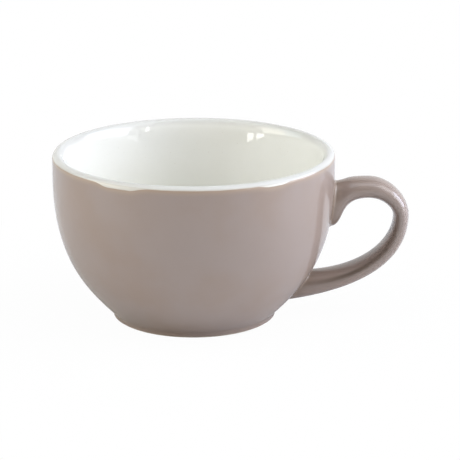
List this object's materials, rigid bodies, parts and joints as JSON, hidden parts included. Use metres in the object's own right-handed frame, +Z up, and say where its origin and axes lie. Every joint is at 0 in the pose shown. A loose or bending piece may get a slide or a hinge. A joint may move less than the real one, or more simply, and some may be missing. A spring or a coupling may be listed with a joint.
{
  "type": "cappuccino cup",
  "caption": "Wide-mouthed cappuccino cup with a rounded belly on a low foot ring, a loop handle, a white inside and a taupe outside.",
  "frame": {"origin": "centre of the foot ring's sole, on the bowl's axis and on the table", "axes": "+Z up along the bowl's axis, +X from the axis out through the handle"},
  "size_m": [0.1265, 0.1, 0.0603],
  "materials": {
    "bare_clay": "matt, smooth, fired",
    "joint_slip": "matt, fired",
    "white_glaze": "glossy",
    "taupe_glaze": "glossy"
  },
  "bodies": {
    "root": {"bowl_body": "bare_clay", "handle": "bare_clay", "upper_joint_slip": "joint_slip", "lower_joint_slip": "joint_slip", "liner_glaze": "white_glaze", "outer_glaze": "taupe_glaze", "handle_glaze": "taupe_glaze", "underside_glaze": "taupe_glaze"}
  },
  "joints": []
}
